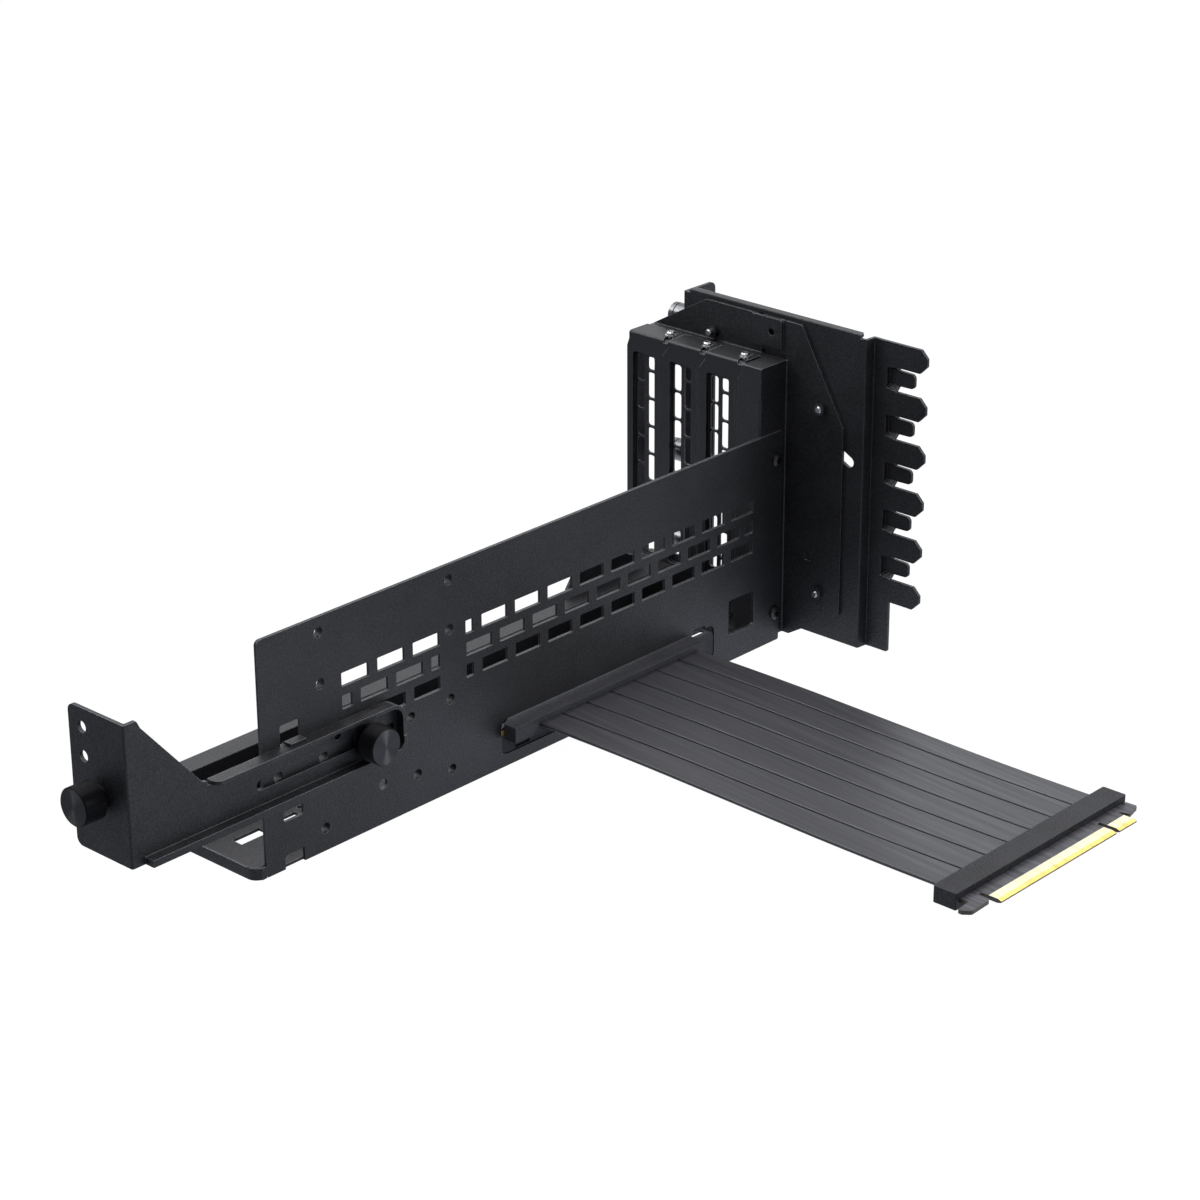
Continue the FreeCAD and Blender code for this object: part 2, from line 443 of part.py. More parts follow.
# between the fingers the sheet is pressed back into a small tongue
TAB_X = FINGER_X + 2.2
pockets = [prism([(-45.4, z - 4.3), (-45.4, z + 4.3), (edge_y - 0.6, z + 5.0), (edge_y - 0.6, z - 5.0)], "yz", 335.0, 345.0) for z in tabz]
main = main.cut(pockets)
tabs = []
for z in tabz:
    tongue = prism([(-44.4, z - 3.3), (-50.0, z - 3.3), (-57.8, z - 3.05, 1.9), (-57.8, z + 3.05, 1.9), (-50.0, z + 3.3), (-44.4, z + 3.3)],
                   "yz", TAB_X, TAB_X + SHEET)
    root = prism([(FINGER_X + 0.05, z - 5.0), (TAB_X + SHEET, z - 4.0), (TAB_X + SHEET, z + 4.0), (FINGER_X + 0.05, z + 5.0)], "xz", -45.4, -44.2)
    tabs += [tongue, root]
    for q in (-1, 1):
        tabs.append(prism([(FINGER_X, z + q * 5.0), (TAB_X, z + q * 3.3), (TAB_X + SHEET, z + q * 3.3), (TAB_X + SHEET, z + q * 4.0),
                           (FINGER_X + SHEET, z + q * 5.9), (FINGER_X, z + q * 5.9)], "xz", edge_y, -44.2))
# top flange of the comb plate, folded away from the cage
TOP_Y0, TOP_Y1, TOP_X = -35.6, 54.8, 334.6
top = folded([(mid, 130.0), (mid, COMB_TOP - 0.6), (TOP_X, COMB_TOP - 0.6)], SHEET, (0.2, 0.7), "xz", TOP_Y0, TOP_Y1)
top = top.common(prism([(COMB_X - 1, TOP_Y0), (TOP_X - 1.2, TOP_Y0), (TOP_X, TOP_Y0 + 1.2), (TOP_X, TOP_Y1), (COMB_X - 1, TOP_Y1)],
                       "xy", 100.0, 150.0))
comb = fuse(main, top, *tabs)
comb_cuts = []
# window for the card's ports
PORT_Y0, PORT_Y1, PORT_Z0, PORT_Z1 = 9.0, 41.4, 14.0, 116.0
comb_cuts.append(prism(rect(PORT_Y0, PORT_Y1, PORT_Z0, PORT_Z1, 2.0), "yz", 330.0, 334.0))
# clamp slots, parallel to the adjustment
for y, z in CLAMPS:
    L = SHIFT_LEN + 0.4
    comb_cuts.append(slot2d(y + 0.3 * shift[0], z + 0.3 * shift[1], y - L * shift[0], z - L * shift[1], SHIFT_SLOT_W, "yz", 330.0, 334.0))
# spare slot whose lower end shows beside the cage flange
comb_cuts.append(slot2d(-31.5, 86.0, -31.5 + 20 * shift[0], 86.0 + 20 * shift[1], SHIFT_SLOT_W, "yz", 330.0, 334.0))
THUMB_Z = [125.2, 64.2, 23.6]
THUMB_X = 340.0
for z in THUMB_Z:
    comb_cuts.append(cyl(1.6, (THUMB_X, 50.0, z), (0, 1, 0), 14.0))
comb = comb.cut(comb_cuts).removeSplitter()
nodes["comb_plate"] = comb

# clamp screws with washers on the comb side, clinch nuts on the cage side
washers, cscrews, nuts = [], [], []
for i, (y, z) in enumerate(CLAMPS):
    x = COMB_X + SHEET + 0.05
    washers.append(cyl(4.0, (x, y, z), (1, 0, 0), 0.8).cut(cyl(1.6, (x - 1, y, z), (1, 0, 0), 3.0)))
    cscrews.append(pan_screw((x + 0.8, y, z), (1, 0, 0), 3.0, 2.0, 1.5, (6.75, 5.45, 5.75)[i], 3.2))
    nut = fuse(cyl(2.6, (FLANGE_X - 1.9, y, z), (1, 0, 0), 1.9), cyl(2.1, (FLANGE_X, y, z), (1, 0, 0), 1.1))
    nuts.append(nut.cut(cyl(1.55, (FLANGE_X - 4, y, z), (1, 0, 0), 8.0)))
nodes["clamp_washers"] = Part.makeCompound(washers)
nodes["clamp_screws"] = Part.makeCompound(cscrews)
nodes["clinch_nuts"] = Part.makeCompound(nuts)


def turned_head(base, axis, r, h):
    """Smooth turned head with chamfered edges and a flat face."""
    ax, b, c = V(*axis), V(*base), 0.5
    return fuse(Part.makeCone(r - c, r, c, b, ax), Part.makeCylinder(r, h - 2 * c, b + ax * c, ax),
                Part.makeCone(r, r - c, c, b + ax * (h - c), ax))


for i, z in enumerate(THUMB_Z):
    y = COMB_FAR_Y
    head = turned_head((THUMB_X, y + 1.2, z), (0, 1, 0), 4.8, 11.5)
    head = head.cut(cyl(6.0, (THUMB_X, y + 9.6, z), (0, 1, 0), 0.5).cut(cyl(4.5, (THUMB_X, y + 9.0, z), (0, 1, 0), 2.0)))
    collar = cyl(3.6, (THUMB_X, y, z), (0, 1, 0), 1.3)
    shank = cyl(1.55, (THUMB_X, y - 7.0, z), (0, 1, 0), 7.5)
    t_ = fuse(head, collar, shank)
    t_ = t_.cut(cross_recess((THUMB_X, y + 12.7, z), (0, 1, 0), 5.0, 2.0))
    nodes["rear_thumb_screw_%d" % (i + 1)] = t_

# -------------------------------------------------------------- support arm
ay0, ay1 = ARM_WEB_Y, ARM_WEB_Y + ARM_SHEET
rim_out = [(-17.9, ARM_Z0), (ARM_TIP_X, ARM_Z0, 5.5), (ARM_TIP_X, ARM_Z1, 6.5), (15.0, ARM_Z1), (-17.9, ARM_Z1)]
HEM_Z = ARM_Z0 + 2.8   # the lower edge is folded back on itself
rim_in = [(-19.0, HEM_Z), (ARM_TIP_X - ARM_SHEET, HEM_Z, 3.5), (ARM_TIP_X - ARM_SHEET, ARM_Z1 - ARM_SHEET, 5.0),
          (-19.0, ARM_Z1 - ARM_SHEET)]
beam = prism(rim_out, "xz", ARM_LIP_Y, ay1).cut(prism(rim_in, "xz", ARM_LIP_Y - 1, ay0))
beam = beam.cut(box(-30.0, 12.7, ARM_LIP_Y - 1, ay0, ARM_Z1 - ARM_SHEET - 0.2, ARM_Z1 + 1))
# the upper lip starts with a rounded corner and a relief notch
beam = beam.cut(prism([(11.0, -9.0), (22.0, -9.0), (22.0, ARM_LIP_Y), (12.7, ARM_LIP_Y, 4.0), (12.7, ay0), (11.0, ay0)], "xy",
                      ARM_Z1 - ARM_SHEET - 0.2, ARM_Z1 + 1))
beam = beam.cut(box(10.0, 120.0, ARM_LIP_Y - 1, ARM_LIP_Y + 0.4, HEM_Z + 5.0, ARM_Z1 + 1))
web = prism([(-15.0, ARM_Z0), (20.0, ARM_Z0), (20.0, 49.0), (12.8, 49.0, 0.6), (9.4, 49.9, 0.6), (-16.5, 79.9, 1.0), (-18.0, ARM_TOP, 1.4), (-21.0, ARM_TOP),
             (-21.0, ARM_Z0)], "xz", ay0, ay1)
end = folded([(-14.0, (ay0 + ay1) / 2), (ARM_END_X + 0.75, (ay0 + ay1) / 2), (ARM_END_X + 0.75, 28.2)], ARM_SHEET, (0.4, 0.8), "xy", ARM_Z0, ARM_TOP)
end = end.cut(prism([(-18.2, ARM_TOP + 1), (-18.2, ARM_TOP - 1), (-16.5, 79.9), (-12.0, 74.4), (-5.0, 74.4), (-5.0, ARM_TOP + 1)], "xz", -5, 0))
end = end.common(prism([(-10.0, ARM_Z0), (28.2, ARM_Z0, 3.0), (28.2, ARM_TOP, 3.0), (-10.0, ARM_TOP)], "yz", -30.0, 0.0))
arm = fuse(beam, web, end)
arm = arm.cut([box(11.3, 12.7, ARM_LIP_Y - 1, 1.0, ARM_Z1 - ARM_SHEET - 0.4, ARM_Z1 + 1),
               slot2d(ARM_SLOT_X0, ARM_SLOT_Z, ARM_SLOT_X1, ARM_SLOT_Z, ARM_SLOT_W, "xz", -8.0, 2.0),
               cyl(1.7, (73.6, -8.0, 45.0), (0, 1, 0), 10.0),
               cyl(2.25, (-30.0, 21.1, 75.7), (1, 0, 0), 12.0),
               cyl(2.25, (-30.0, 21.1, 64.5), (1, 0, 0), 12.0),
               cyl(STUD_R + 0.05, (-30.0, END_KNOB_Y, END_KNOB_Z), (1, 0, 0), 12.0)])
nodes["support_arm"] = arm

# clamp knob of the arm, its washer, and the clinch nut behind the plate
kh = turned_head((KNOB_X, -4.6, KNOB_Z), (0, -1, 0), KNOB_D / 2, 7.9)
kc = cyl(4.6, (KNOB_X, -2.5, KNOB_Z), (0, -1, 0), 2.3)
ks = cyl(STUD_R, (KNOB_X, -3.0, KNOB_Z), (0, 1, 0), 9.5)
nodes["arm_knob"] = fuse(kh, kc, ks)
nodes["arm_washer"] = cyl(6.0, (KNOB_X, -2.45, KNOB_Z), (0, 1, 0), 0.8).cut(cyl(2.1, (KNOB_X, -4, KNOB_Z), (0, 1, 0), 4.0))
nodes["arm_nut"] = cyl(3.8, (KNOB_X, SHEET, KNOB_Z), (0, 1, 0), 2.6).cut(cyl(STUD_R + 0.05, (KNOB_X, 0, KNOB_Z), (0, 1, 0), 6.0))

eh = turned_head((ARM_END_X - 2.6, END_KNOB_Y, END_KNOB_Z), (-1, 0, 0), END_KNOB_D / 2, 9.3)
ec = cyl(4.6, (ARM_END_X, END_KNOB_Y, END_KNOB_Z), (-1, 0, 0), 2.8)
es = cyl(STUD_R, (ARM_END_X - 0.5, END_KNOB_Y, END_KNOB_Z), (1, 0, 0), 12.5)
nodes["arm_end_knob"] = fuse(eh, ec, es)

# ------------------------------------------------------------- riser socket
BOARD_Z0, BOARD_Z1 = 8.4, 10.0
board = prism([(161.4, 2.25), (161.4, 24.0, 1.0), (283.5, 24.0, 1.0), (283.5, 2.25)], "xy", BOARD_Z0, BOARD_Z1)
board = board.cut([cyl(1.6, (x, y, 5.0), (0, 0, 1), 8.0) for x, y in STANDOFFS])
nodes["socket_board"] = board
# moulded front of the socket, which fills the cut-out in the plate
front = prism([(160.3, 5.3, 2.8), (284.7, 5.3, 2.8), (284.7, 17.2, 2.4), (160.3, 17.2, 2.4)], "xz", 0.3, 2.15)
front = front.cut(prism(rect(167.6, 175.8, 5.9, 8.0, 0.5), "xz", -0.5, 1.2))
nodes["socket_front"] = front
# clamping cap over the end of the ribbon: walls at the front, top, bottom and ends
COVER_Z0 = 12.4
cov = prism(rect(SOCKET_X0, SOCKET_X1, COVER_Z0, SOCKET_TOP, 0.3), "xz", SOCKET_Y0, 0.2)
cov = cov.cut(box(SOCKET_X0 + 1.6, SOCKET_X1 - 1.6, SOCKET_Y0 + 1.8, 1.0, COVER_Z0 + 1.4, SOCKET_TOP - 1.6))
roof = prism([(SOCKET_X0, -2.0), (SOCKET_X1, -2.0), (SOCKET_X1, 2.4, 0.5), (166.7, 2.4, 2.0), (SOCKET_X0, -1.0, 1.0)], "xy",
             SOCKET_TOP - 1.55, SOCKET_TOP)
cov = fuse(cov, roof)
cov = cov.cut([box(SOCKET_X0 - 1, SOCKET_X1 + 1, -5.6, -5.1, SOCKET_TOP - 0.3, SOCKET_TOP + 1),
               prism([(SOCKET_X0 - 1, -1.6), (SOCKET_X0, -1.0), (166.7, 2.4), (166.7, 5.0), (SOCKET_X0 - 1, 5.0)], "xy", COVER_Z0 - 1, SOCKET_TOP + 1)])
nodes["socket_cover"] = cov
# card slot connector standing on the board behind the plate
SLOT_Y = 13.2
SLOT_X0, SLOT_X1 = 170.0, 259.0
conn = prism(rect(SLOT_X0, SLOT_X1, SLOT_Y - 3.8, SLOT_Y + 3.8, 0.6), "xy", BOARD_Z1, 21.2)
KEY_X = SLOT_X1 - 4.6 - 11.65 - 0.85
conn = conn.cut([box(SLOT_X0 + 1.6, KEY_X - 0.8, SLOT_Y - 0.95, SLOT_Y + 0.95, 12.6, 22.0),
                 box(KEY_X + 0.9, SLOT_X1 - 1.8, SLOT_Y - 0.95, SLOT_Y + 0.95, 12.6, 22.0)])
hook = prism([(SLOT_X0, 10.0), (SLOT_X0, 17.5), (SLOT_X0 - 4.0, 17.5, 0.6), (SLOT_X0 - 4.0, 21.5), (SLOT_X0 - 5.6, 21.5, 0.5), (SLOT_X0 - 5.6, 12.0, 1.5), (SLOT_X0 - 3.0, 10.0)],
             "xz", SLOT_Y - 2.2, SLOT_Y + 2.2)
conn = fuse(conn, hook)
nodes["slot_connector"] = conn
st, ss = [], []
for x, y in STANDOFFS:
    hexp = [(x + 2.9 * math.cos(math.radians(60 * k + 30)), y + 2.9 * math.sin(math.radians(60 * k + 30))) for k in range(6)]
    s_ = fuse(prism(hexp, "xy", TRAY_TOP, BOARD_Z0), cyl(1.7, (x, y, TRAY_TOP - 1.6), (0, 0, 1), 1.7))
    st.append(s_.cut(cyl(1.25, (x, y, 0.0), (0, 0, 1), 12.0)))
    ss.append(pan_screw((x, y, BOARD_Z1), (0, 0, 1), 2.3, 1.5, 1.2, 4.2, 2.6))
nodes["board_standoffs"] = Part.makeCompound(st)
nodes["board_screws"] = Part.makeCompound(ss)

# ------------------------------------------------------------------- ribbon
n_strip = 7
for i in range(n_strip):
    wires = []
    ys0, ys1 = STRIP_Z[0][0], STRIP_Z[-1][0]
    for (y, z) in STRIP_Z:
        f = (y - ys0) / (ys1 - ys0)
        xa = STRIP_SOCKET_X[i] + (STRIP_PLUG_X[i] - STRIP_SOCKET_X[i]) * f + 0.12
        xb = STRIP_SOCKET_X[i + 1] + (STRIP_PLUG_X[i + 1] - STRIP_SOCKET_X[i + 1]) * f - 0.12
        h = STRIP_T / 2
        p = [V(xa, y, z - h), V(xb, y, z - h), V(xb, y, z + h), V(xa, y, z + h)]
        wires.append(Part.makePolygon(p + [p[0]]))
    nodes["cable_strip_%d" % (i + 1)] = Part.makeLoft(wires, True, True)
    L = sum(math.dist(STRIP_Z[k], STRIP_Z[k + 1]) for k in range(len(STRIP_Z) - 1))
mid_dx = (sum(STRIP_PLUG_X) - sum(STRIP_SOCKET_X)) / 8
print("ribbon length", round(math.hypot(L, mid_dx), 1))

# --------------------------------------------------------------------- plug


def pl(pts, z0, z1):
    return prism([(p[0] + PLUG_DX, p[1] + PLUG_DY) + tuple(p[2:]) for p in pts], "xy", z0 + PLUG_DZ, z1 + PLUG_DZ)


housing = pl([(171.0, -198.4, 0.8), (276.6, -198.4, 0.8), (276.6, -208.7, 0.5), (171.0, -208.7, 0.5)], 8.9, 15.6)
housing = housing.cut(pl([(173.0, -209.8), (274.0, -209.8), (274.0, -200.2), (173.0, -200.2)], 11.2, 13.05))
nodes["plug_housing"] = housing
pb = pl([(173.5, -200.5), (273.5, -200.5), (273.5, -208.9), (276.0, -209.4), (276.2, -214.2, 1.0), (268.6, -215.9, 0.6), (267.6, -212.4, 0.8),
         (266.6, -212.4, 0.3), (266.6, -220.4), (255.4, -220.4), (255.4, -211.6), (253.5, -211.6), (253.5, -220.4), (182.0, -220.4),
         (182.0, -211.6, 0.5), (180.4, -211.6, 0.5), (180.0, -217.0, 1.2), (168.8, -217.4, 1.6), (166.5, -214.6, 0.8), (166.6, -212.8, 0.4),
         (173.5, -212.4)], 11.32, 12.92)
# the contact edge is bevelled on both faces
for za, zb in ((12.92, 12.40), (11.32, 11.84)):
    out = 1.0 if za > zb else -1.0
    pb = pb.cut(prism([(-218.7 + PLUG_DY, za + PLUG_DZ), (-221.4 + PLUG_DY, zb - out * 0.306 + PLUG_DZ),
                       (-221.4 + PLUG_DY, za + out + PLUG_DZ), (-218.7 + PLUG_DY, za + out + PLUG_DZ)], "yz", 190.0, 290.0))
nodes["plug_board"] = pb

# -------------------------------------------------------------------- write
os.makedirs("parts", exist_ok=True)
for name, shape in nodes.items():
    s = shape.copy()
    s.translate(V(-ORIGIN_X, -ORIGIN_Y, 0))
    s.exportStep("parts/%s.step" % name)
    bb = s.BoundBox
    print("%-20s valid %s solids %d vol %9.1f  x %.1f %.1f  y %.1f %.1f  z %.1f %.1f" % (
        name, s.isValid(), len(s.Solids), s.Volume, bb.XMin, bb.XMax, bb.YMin, bb.YMax, bb.ZMin, bb.ZMax))
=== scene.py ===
import json
import math
import bpy
import bmesh
from mathutils import Matrix, Vector


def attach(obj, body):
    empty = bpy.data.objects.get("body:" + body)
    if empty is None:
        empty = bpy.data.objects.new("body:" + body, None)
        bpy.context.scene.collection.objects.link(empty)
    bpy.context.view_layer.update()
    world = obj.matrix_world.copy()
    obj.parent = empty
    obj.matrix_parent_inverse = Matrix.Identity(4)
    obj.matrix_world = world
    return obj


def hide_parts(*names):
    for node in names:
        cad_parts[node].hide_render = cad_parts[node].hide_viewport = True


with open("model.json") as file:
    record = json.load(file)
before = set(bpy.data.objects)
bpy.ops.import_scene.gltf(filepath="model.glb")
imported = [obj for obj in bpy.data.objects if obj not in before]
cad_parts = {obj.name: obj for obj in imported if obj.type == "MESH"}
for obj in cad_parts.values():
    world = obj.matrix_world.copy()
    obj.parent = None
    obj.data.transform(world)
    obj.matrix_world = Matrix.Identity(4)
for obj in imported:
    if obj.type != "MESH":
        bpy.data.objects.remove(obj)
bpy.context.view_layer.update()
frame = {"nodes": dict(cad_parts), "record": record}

nodes = frame["nodes"]

# Working millimetres: X along the long plate, Y = 0 on its front face, Z = 0 on
# the surface. The object's own frame has its origin in the middle of the footprint.
OX, OY = 157.25, 4.1


def P(x, y, z):
    return Vector(((x - OX) / 1000, (y - OY) / 1000, z / 1000))


scene = bpy.context.scene
scene.view_settings.view_transform = "Standard"
scene.view_settings.look = "None"

# ------------------------------------------------------------------- camera
AZ, EL, ROLL = math.radians(-47.273), math.radians(23.203), math.radians(-0.260)
back = Vector((math.sin(AZ) * math.cos(EL), -math.cos(AZ) * math.cos(EL), math.sin(EL)))
right = Vector((math.cos(AZ), math.sin(AZ), 0.0))
up = back.cross(right)
cam_r = math.cos(ROLL) * right + math.sin(ROLL) * up
cam_u = -math.sin(ROLL) * right + math.cos(ROLL) * up
cam_data = bpy.data.cameras.new("camera")
cam = bpy.data.objects.new("camera", cam_data)
scene.collection.objects.link(cam)
m = Matrix.Identity(4)
for i in range(3):
    m[i][0], m[i][1], m[i][2] = cam_r[i], cam_u[i], back[i]
m.translation = P(-643.6, -794.0, 554.4)
cam.matrix_world = m
cam_data.sensor_fit = "HORIZONTAL"
cam_data.sensor_width = 36.0
cam_data.lens = 36.0 * 3248.26 / 1200.0
cam_data.clip_start, cam_data.clip_end = 0.05, 50.0
scene.camera = cam


# ---------------------------------------------------------------- materials
def new_material(name):
    mat = bpy.data.materials.new(name)
    mat.use_nodes = True
    nt = mat.node_tree
    nt.nodes.clear()
    out = nt.nodes.new("ShaderNodeOutputMaterial")
    bsdf = nt.nodes.new("ShaderNodeBsdfPrincipled")
    nt.links.new(bsdf.outputs["BSDF"], out.inputs["Surface"])
    coord = nt.nodes.new("ShaderNodeTexCoord")
    return mat, nt, bsdf, coord.outputs["Object"]


def noise(nt, vec, scale, detail=2.0, rough=0.5, stretch=None):
    if stretch is not None:
        mp = nt.nodes.new("ShaderNodeMapping")
        mp.inputs["Scale"].default_value = stretch
        nt.links.new(vec, mp.inputs["Vector"])
        vec = mp.outputs["Vector"]
    n = nt.nodes.new("ShaderNodeTexNoise")
    n.inputs["Scale"].default_value = scale
    n.inputs["Detail"].default_value = detail
    n.inputs["Roughness"].default_value = rough
    nt.links.new(vec, n.inputs["Vector"])
    return n.outputs["Fac"]


def ramp(nt, fac, stops, kind="LINEAR"):
    r = nt.nodes.new("ShaderNodeValToRGB")
    r.color_ramp.interpolation = kind
    el = r.color_ramp.elements
    while len(el) < len(stops):
        el.new(0.5)
    for e, (p, c) in zip(el, stops):
        e.position = p
        e.color = (c, c, c, 1.0) if isinstance(c, float) else (*c, 1.0)
    nt.links.new(fac, r.inputs["Fac"])
    return r.outputs["Color"]


def remap(nt, fac, a0, a1, b0, b1):
    r = nt.nodes.new("ShaderNodeMapRange")
    r.inputs["From Min"].default_value = a0
    r.inputs["From Max"].default_value = a1
    r.inputs["To Min"].default_value = b0
    r.inputs["To Max"].default_value = b1
    nt.links.new(fac, r.inputs["Value"])
    return r.outputs["Result"]


def math_node(nt, op, a, b):
    n = nt.nodes.new("ShaderNodeMath")
    n.operation = op
    for s, v in ((n.inputs[0], a), (n.inputs[1], b)):
        if isinstance(v, (int, float)):
            s.default_value = v
        else:
            nt.links.new(v, s)
    return n.outputs[0]


EDGE_SAMPLES = 6


def bump(nt, bsdf, height, strength, distance, edge=0.0):
    """Height as bump, over edges that look rounded by the given radius."""
    b = nt.nodes.new("ShaderNodeBump")
    b.inputs["Strength"].default_value = strength
    b.inputs["Distance"].default_value = distance
    nt.links.new(height, b.inputs["Height"])
    if edge:
        bv = nt.nodes.new("ShaderNodeBevel")
        bv.samples = EDGE_SAMPLES
        bv.inputs["Radius"].default_value = edge
        nt.links.new(bv.outputs["Normal"], b.inputs["Normal"])
    if bsdf is not None:
        nt.links.new(b.outputs["Normal"], bsdf.inputs["Normal"])
    return b.outputs["Normal"]


def paint_edge_highlight(nt, edge, dark, light, amount):
    """Colour painted lighter along edges, most on upward-facing ones: a painted highlight for the gloss that rounded
    edges catch.
    """
    bv = nt.nodes.new("ShaderNodeBevel")
    bv.samples = EDGE_SAMPLES
    bv.inputs["Radius"].default_value = edge
    geo = nt.nodes.new("ShaderNodeNewGeometry")
    dot = nt.nodes.new("ShaderNodeVectorMath")
    dot.operation = "DOT_PRODUCT"
    nt.links.new(bv.outputs["Normal"], dot.inputs[0])
    nt.links.new(geo.outputs["True Normal"], dot.inputs[1])
    sep = nt.nodes.new("ShaderNodeSeparateXYZ")
    nt.links.new(bv.outputs["Normal"], sep.inputs[0])
    turn = remap(nt, dot.outputs["Value"], 0.97, 0.80, 0.0, 1.0)
    # upward-facing edges are painted brightest, as if lit from above: painted highlight
    up_ = remap(nt, sep.outputs["Z"], -0.35, 0.55, 0.0, 1.0)
    fac = math_node(nt, "MULTIPLY", math_node(nt, "MULTIPLY", turn, up_), amount)
    mx = nt.nodes.new("ShaderNodeMix")
    mx.data_type = "RGBA"
    nt.links.new(fac, mx.inputs["Factor"])
    nt.links.new(dark, mx.inputs["A"])
    mx.inputs["B"].default_value = (*light, 1.0)
    return mx.outputs["Result"]


def powder(name, dark, light, rough=(0.36, 0.5), grain=1500.0, depth=0.00022, strength=1.0, spec=0.45, edge=0.00016, edge_highlight=0.95,
           edge_highlight_colour=(0.33, 0.335, 0.35), mask=0.0003):
    """Textured powder coat: fine pimples, a little colour and gloss variation."""
    mat, nt, bsdf, co = new_material(name)
    g = noise(nt, co, grain, 3.0, 0.62)
    wide = noise(nt, co, 60.0, 3.0, 0.55)
    mix = math_node(nt, "ADD", math_node(nt, "MULTIPLY", g, 0.8), math_node(nt, "MULTIPLY", wide, 0.2))
    col = ramp(nt, mix, [(0.41, dark), (0.5, tuple((a + b) / 2 for a, b in zip(dark, light))), (0.59, light)])
    # painted highlight: the base colour is painted lighter along edges, most where they face up
    if edge_highlight:
        col = paint_edge_highlight(nt, mask, col, edge_highlight_colour, edge_highlight)
    nt.links.new(col, bsdf.inputs["Base Color"])
    nt.links.new(remap(nt, g, 0.35, 0.65, rough[1], rough[0]), bsdf.inputs["Roughness"])
    bsdf.inputs["Specular IOR Level"].default_value = spec
    bump(nt, bsdf, g, strength, depth, edge)
    return mat


MAT_POWDER = powder("powder_coat", (0.0003, 0.0004, 0.0006), (0.0165, 0.0170, 0.0200))
MAT_COVER = powder("cover_coat", (0.0020, 0.0021, 0.0025), (0.0100, 0.0104, 0.0120), rough=(0.34, 0.46), grain=1500.0, strength=0.6)
MAT_PLASTIC = powder("moulded_plastic", (0.030, 0.030, 0.034), (0.054, 0.054, 0.061), rough=(0.42, 0.55), grain=2200.0, strength=0.4, spec=0.14, edge_highlight=0.12)
MAT_PLUG = powder("plug_plastic", (0.005, 0.005, 0.006), (0.024, 0.024, 0.028), rough=(0.42, 0.55), grain=1800.0, strength=0.8, spec=0.22, edge_highlight=0.12)
MAT_SLOT = powder("slot_plastic", (0.008, 0.008, 0.009), (0.016, 0.016, 0.018), rough=(0.3, 0.45), grain=2600.0, strength=0.25, edge_highlight=0.0)


def metal(name, colour, rough=(0.18, 0.32), scale=900.0, stretch=None, strength=0.15, metallic=1.0):
    mat, nt, bsdf, co = new_material(name)
    g = noise(nt, co, scale, 3.0, 0.6, stretch)
    lo = tuple(c * 0.82 for c in colour)
    nt.links.new(ramp(nt, g, [(0.3, lo), (0.7, colour)]), bsdf.inputs["Base Color"])
    nt.links.new(remap(nt, g, 0.3, 0.7, rough[0], rough[1]), bsdf.inputs["Roughness"])
    bsdf.inputs["Metallic"].default_value = metallic
    bump(nt, bsdf, g, strength, 0.00003)
    return mat


MAT_STEEL = metal("bright_steel", (0.74, 0.73, 0.72))
MAT_NUT = metal("plated_steel", (0.10, 0.10, 0.105), rough=(0.3, 0.45))
MAT_DARK_STEEL = metal("dark_steel", (0.22, 0.22, 0.225), rough=(0.28, 0.42))
MAT_STUD = metal("zinc_stud", (0.40, 0.40, 0.41), rough=(0.25, 0.36))
MAT_HEAD = metal("turned_head", (0.17, 0.17, 0.175), rough=(0.2, 0.3), stretch=(1.0, 0.15, 1.0), strength=0.1)
MAT_BLACK_SCREW = metal("black_oxide", (0.05, 0.05, 0.052), rough=(0.28, 0.42), metallic=0.9)
MAT_BRASS = metal("turned_brass", (0.62, 0.45, 0.2), rough=(0.22, 0.36))


def ribbon_material():
    mat, nt, bsdf, co = new_material("ribbon_insulation")
    fine = noise(nt, co, 1.0, 3.0, 0.65, (2300.0, 26.0, 300.0))
    wide = noise(nt, co, 1.0, 2.0, 0.5, (420.0, 7.0, 40.0))
    s = math_node(nt, "ADD", math_node(nt, "MULTIPLY", fine, 0.5), math_node(nt, "MULTIPLY", wide, 0.5))
    nt.links.new(ramp(nt, s, [(0.3, (0.018, 0.018, 0.020)), (0.5, (0.031, 0.031, 0.035)), (0.7, (0.056, 0.056, 0.063))]), bsdf.inputs["Base Color"])
    nt.links.new(remap(nt, s, 0.3, 0.7, 0.46, 0.30), bsdf.inputs["Roughness"])
    bsdf.inputs["Specular IOR Level"].default_value = 0.4
    bump(nt, bsdf, s, 0.45, 0.00006)
    return mat


MAT_RIBBON = ribbon_material()
# near-black and almost unreflective: painted shade for the grooves between the ribbon strips
MAT_GROOVE_SHADE = powder("ribbon_groove_shade", (0.0008, 0.0008, 0.0009), (0.0024, 0.0024, 0.0027), rough=(0.7, 0.85), strength=0.2, spec=0.05, edge=0.0, edge_highlight=0.0)


